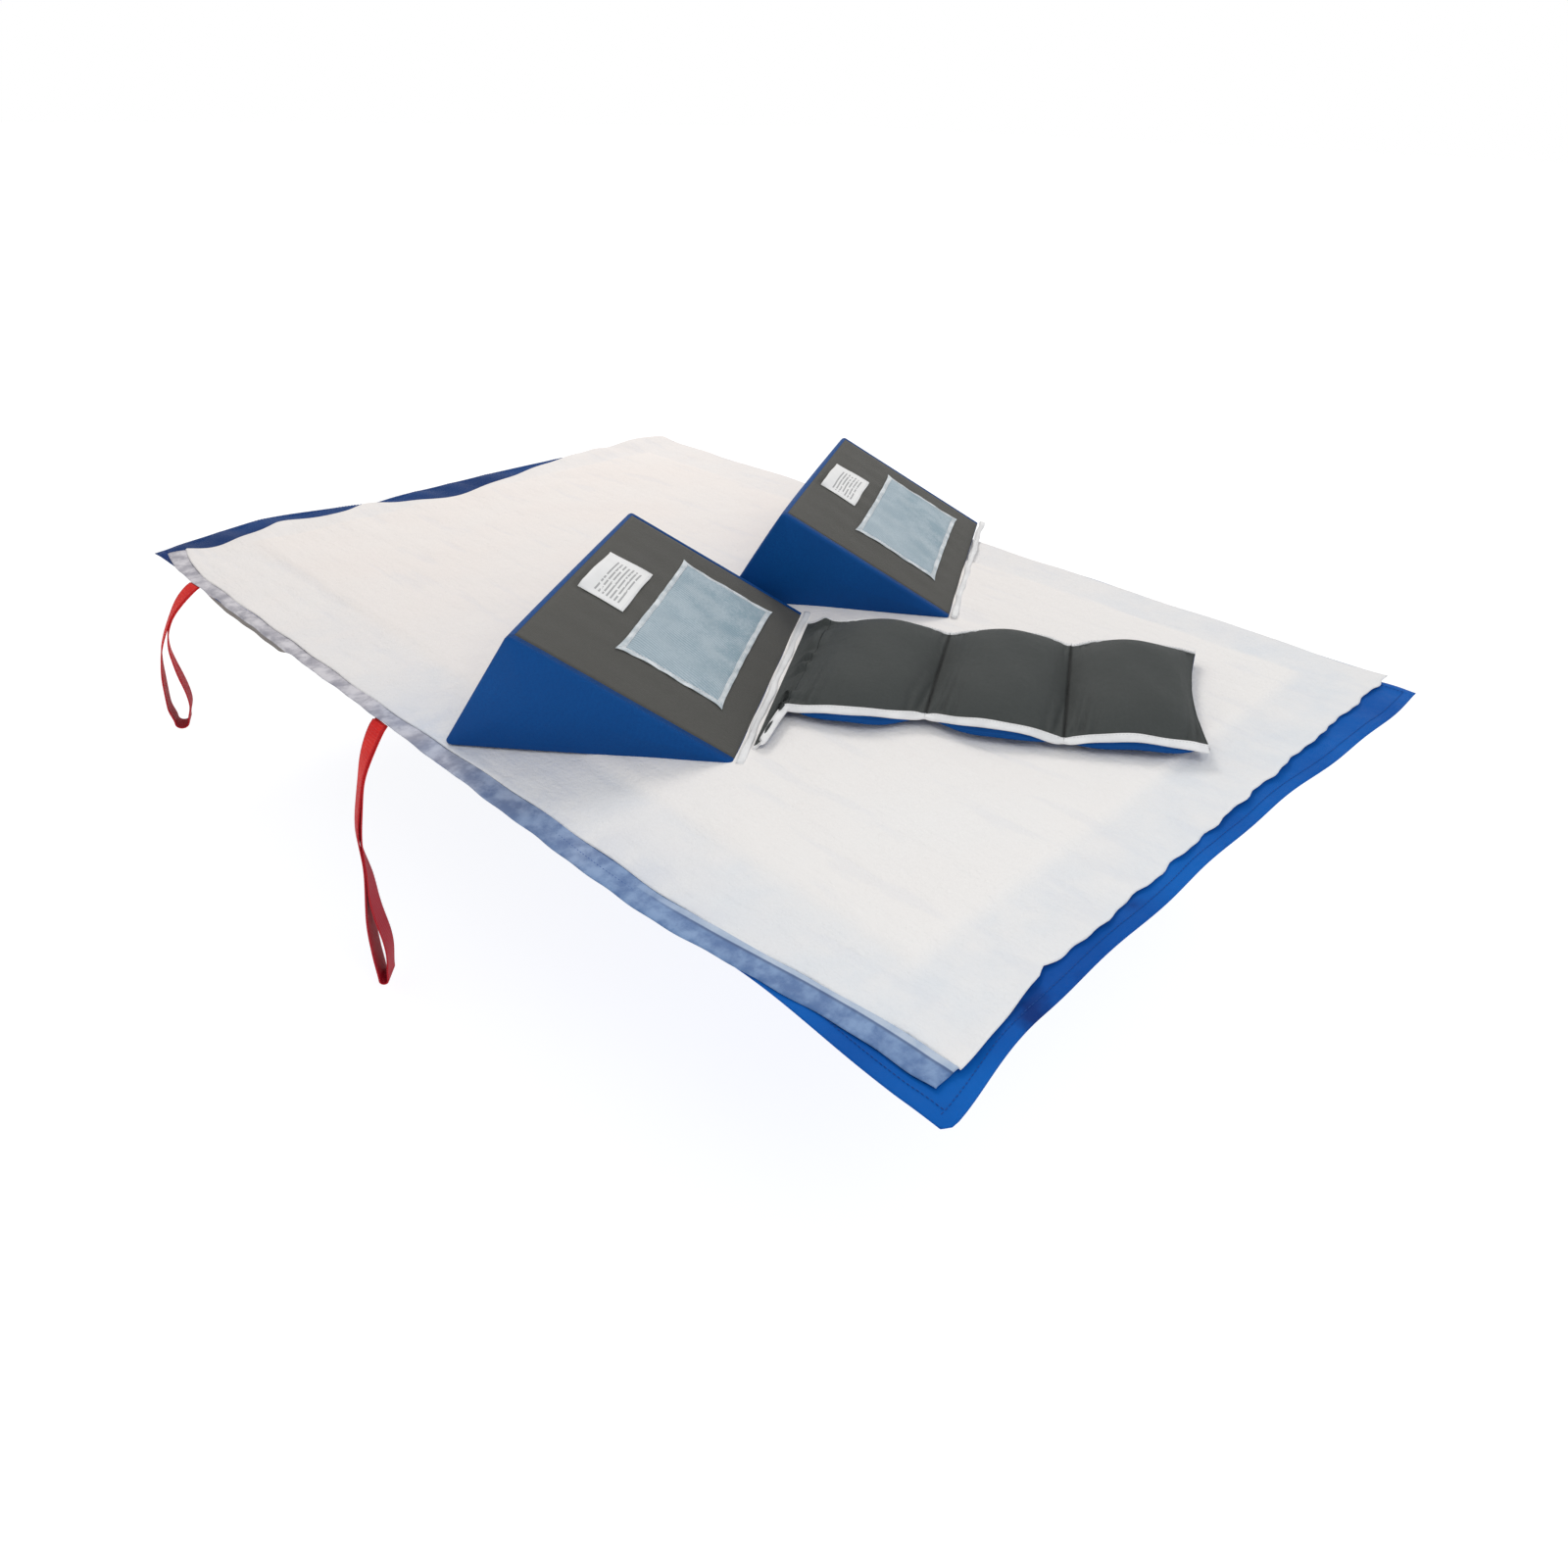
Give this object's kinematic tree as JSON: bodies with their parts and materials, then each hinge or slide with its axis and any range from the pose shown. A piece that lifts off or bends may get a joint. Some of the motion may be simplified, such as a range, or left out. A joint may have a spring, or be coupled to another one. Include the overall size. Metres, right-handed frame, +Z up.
{
  "type": "patient positioning sheet and wedge set",
  "caption": "Rectangular glide sheet with hanging pull straps under an absorbent pad, with foam wedges on top and a padded anchor strip that folds at its seams.",
  "frame": {"origin": "centre of the glide sheet's underside, where it lies on the bed", "axes": "+X along the sheet's long side, +Y across it from the near long edge to the far one, +Z up from the bed"},
  "size_m": [1.42, 0.9585, 0.4282],
  "materials": {
    "glide_fabric": "thin, slippery coated nylon with a low sheen",
    "strap_webbing": "woven flat webbing, 25 mm wide",
    "pad_film": "translucent mottled backing film",
    "pad_core": "absorbent fluff core",
    "pad_top_sheet": "soft matte non-woven",
    "foam": "open-cell foam",
    "cover_grey": "matte coated woven cloth",
    "cover_blue": "smooth coated woven cloth",
    "label": "blank satin label",
    "grip_patch": "ribbed loop pile",
    "patch_border": "flattened, sewn edge of the loop patch",
    "white_binding": "folded white binding tape",
    "anchor_grey": "smooth coated woven cloth",
    "fibre_filling": "loose fibre filling"
  },
  "bodies": {
    "sheet": {"glide_sheet": "glide_fabric", "strap_end_near_head": "strap_webbing", "strap_end_near_hip": "strap_webbing", "strap_end_far_head": "strap_webbing", "strap_end_far_hip": "strap_webbing"},
    "pad": {"pad_film": "pad_film", "pad_core": "pad_core", "pad_top_sheet": "pad_top_sheet"},
    "front_wedge": {"front_foam": "foam", "front_slope_panel": "cover_grey", "front_back_panel": "cover_blue", "front_base_panel": "cover_blue", "front_near_end_panel": "cover_blue", "front_far_end_panel": "cover_blue", "front_edge_binding": "white_binding", "front_label": "label", "front_grip_patch": "grip_patch", "front_patch_border": "patch_border"},
    "rear_wedge": {"rear_foam": "foam", "rear_slope_panel": "cover_grey", "rear_back_panel": "cover_blue", "rear_base_panel": "cover_blue", "rear_near_end_panel": "cover_blue", "rear_far_end_panel": "cover_blue", "rear_edge_binding": "white_binding", "rear_label": "label", "rear_grip_patch": "grip_patch", "rear_patch_border": "patch_border"},
    "anchor_inner": {"anchor_inner_top_cloth": "anchor_grey", "anchor_inner_bottom_cloth": "cover_blue", "anchor_inner_filling": "fibre_filling", "anchor_inner_near_binding": "white_binding", "anchor_inner_far_binding": "white_binding"},
    "anchor_middle": {"anchor_middle_top_cloth": "anchor_grey", "anchor_middle_bottom_cloth": "cover_blue", "anchor_middle_filling": "fibre_filling", "anchor_middle_near_binding": "white_binding", "anchor_middle_far_binding": "white_binding"},
    "anchor_outer": {"anchor_outer_top_cloth": "anchor_grey", "anchor_outer_bottom_cloth": "cover_blue", "anchor_outer_filling": "fibre_filling", "anchor_outer_near_binding": "white_binding", "anchor_outer_far_binding": "white_binding"},
    "strap_near_head": {"pull_strap_near_head": "strap_webbing"},
    "strap_near_hip": {"pull_strap_near_hip": "strap_webbing"},
    "strap_far_head": {"pull_strap_far_head": "strap_webbing"},
    "strap_far_hip": {"pull_strap_far_hip": "strap_webbing"}
  },
  "joints": [
    {"name": "pad_lift", "type": "slide", "parent": "sheet", "child": "pad", "axis": [0, 0, 1], "range_m": [0, 0.25]},
    {"name": "front_wedge_lift", "type": "slide", "parent": "pad", "child": "front_wedge", "axis": [0, 0, 1], "range_m": [0, 0.25]},
    {"name": "rear_wedge_lift", "type": "slide", "parent": "pad", "child": "rear_wedge", "axis": [0, 0, 1], "range_m": [0, 0.25]},
    {"name": "anchor_inner_fold", "type": "hinge", "parent": "front_wedge", "child": "anchor_inner", "pos_m": [0.18233, -0.0562, 0.0096], "axis": [0.5934, -0.8049, 0], "range_deg": [0, 70]},
    {"name": "anchor_middle_fold", "type": "hinge", "parent": "anchor_inner", "child": "anchor_middle", "pos_m": [0.32351, 0.03513, 0.02325], "axis": [0.5432, -0.8396, 0], "range_deg": [0, 70]},
    {"name": "anchor_outer_fold", "type": "hinge", "parent": "anchor_middle", "child": "anchor_outer", "pos_m": [0.44148, 0.11145, 0.02325], "axis": [0.5432, -0.8396, 0], "range_deg": [0, 70]},
    {"name": "strap_near_head_swing", "type": "hinge", "parent": "sheet", "child": "strap_near_head", "pos_m": [-0.5415, -0.4112, 0.00075], "axis": [-1, 0, 0], "range_deg": [0, 85]},
    {"name": "strap_near_hip_swing", "type": "hinge", "parent": "sheet", "child": "strap_near_hip", "pos_m": [-0.035, -0.4112, 0.00075], "axis": [-1, 0, 0], "range_deg": [0, 85]},
    {"name": "strap_far_head_swing", "type": "hinge", "parent": "sheet", "child": "strap_far_head", "pos_m": [-0.5415, 0.4112, 0.00075], "axis": [1, 0, 0], "range_deg": [0, 85]},
    {"name": "strap_far_hip_swing", "type": "hinge", "parent": "sheet", "child": "strap_far_hip", "pos_m": [-0.035, 0.4112, 0.00075], "axis": [1, 0, 0], "range_deg": [0, 85]}
  ]
}
